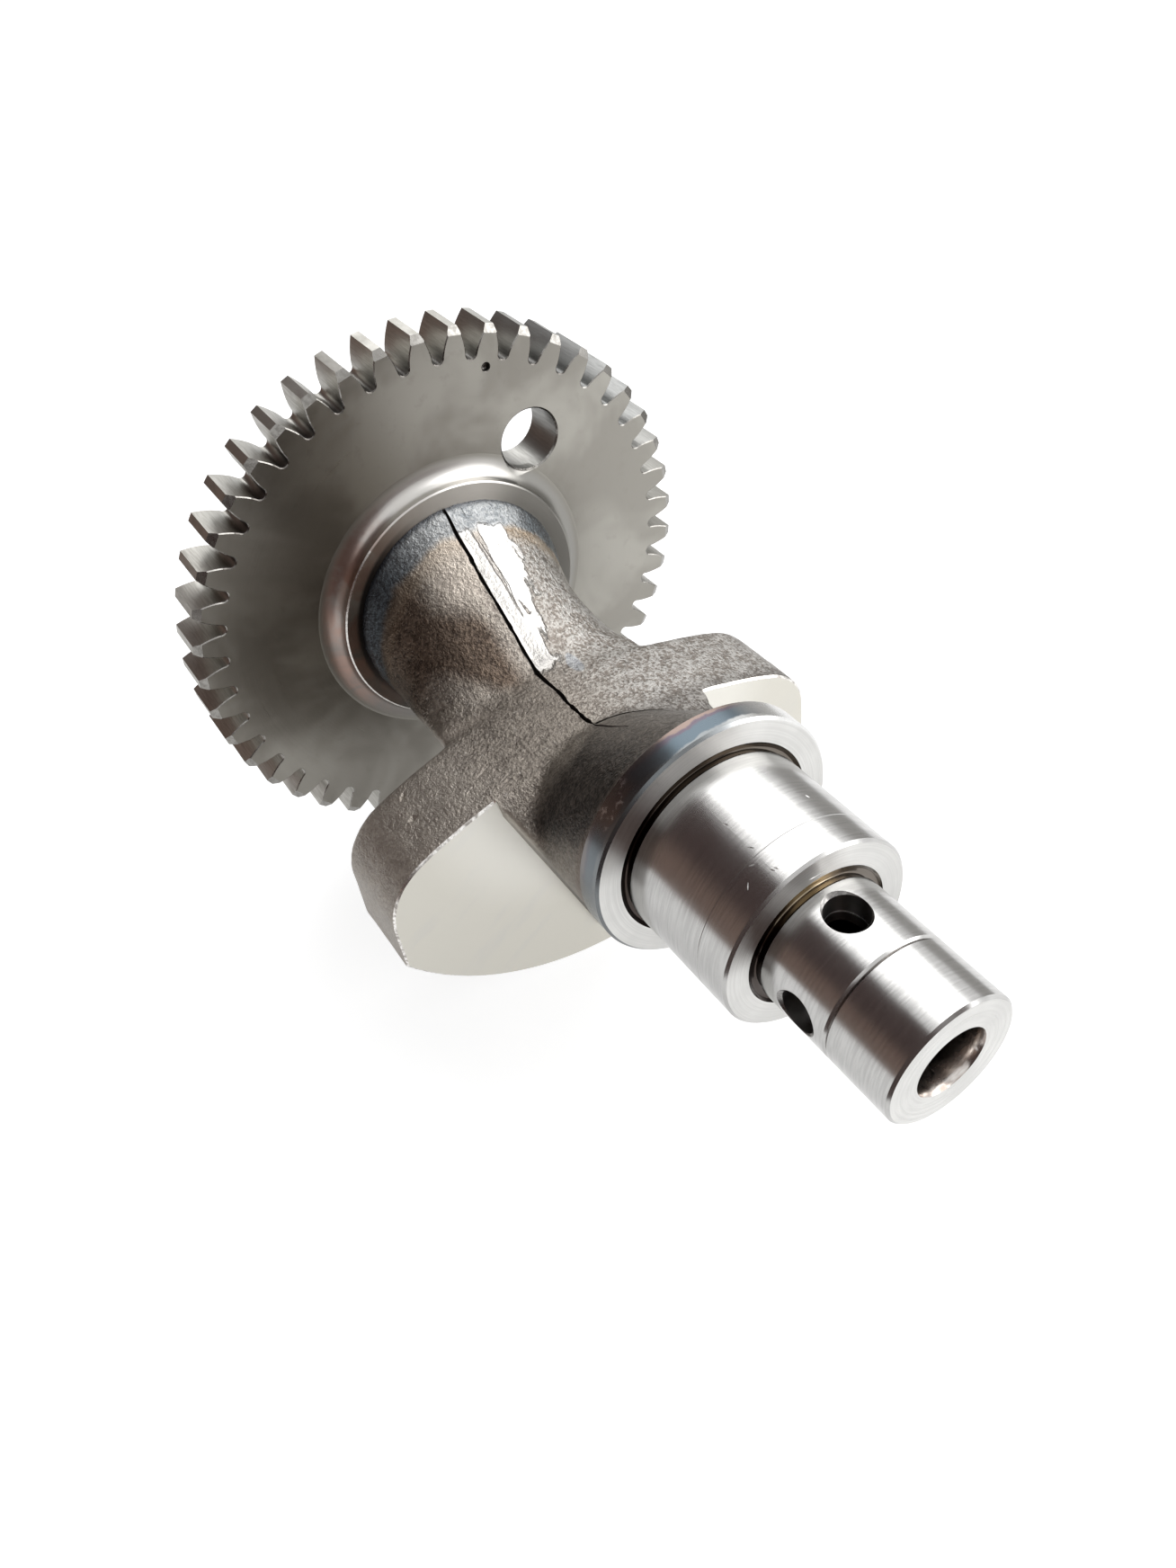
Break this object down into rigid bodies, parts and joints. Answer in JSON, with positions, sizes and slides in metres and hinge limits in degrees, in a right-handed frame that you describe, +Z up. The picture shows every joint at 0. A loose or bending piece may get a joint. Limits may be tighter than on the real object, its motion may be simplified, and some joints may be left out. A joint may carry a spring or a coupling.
{
  "type": "balance shaft",
  "caption": "Forged balance shaft with a sector counterweight hung below the axis, ground bearing journals, a thrust collar, drilled oil ways and a spur-toothed drive wheel.",
  "frame": {"origin": "centre of the small end face, on the shaft axis", "axes": "+X along the shaft axis, out of the small end; +Z up, the counterweight hangs towards -Z; +Y completes a right-handed frame"},
  "size_m": [0.1494, 0.094, 0.0953],
  "materials": {
    "forged_steel": "ground journals and machined faces, shot-blasted forged skin elsewhere"
  },
  "bodies": {
    "root": {"balance_shaft": "forged_steel"}
  },
  "joints": []
}
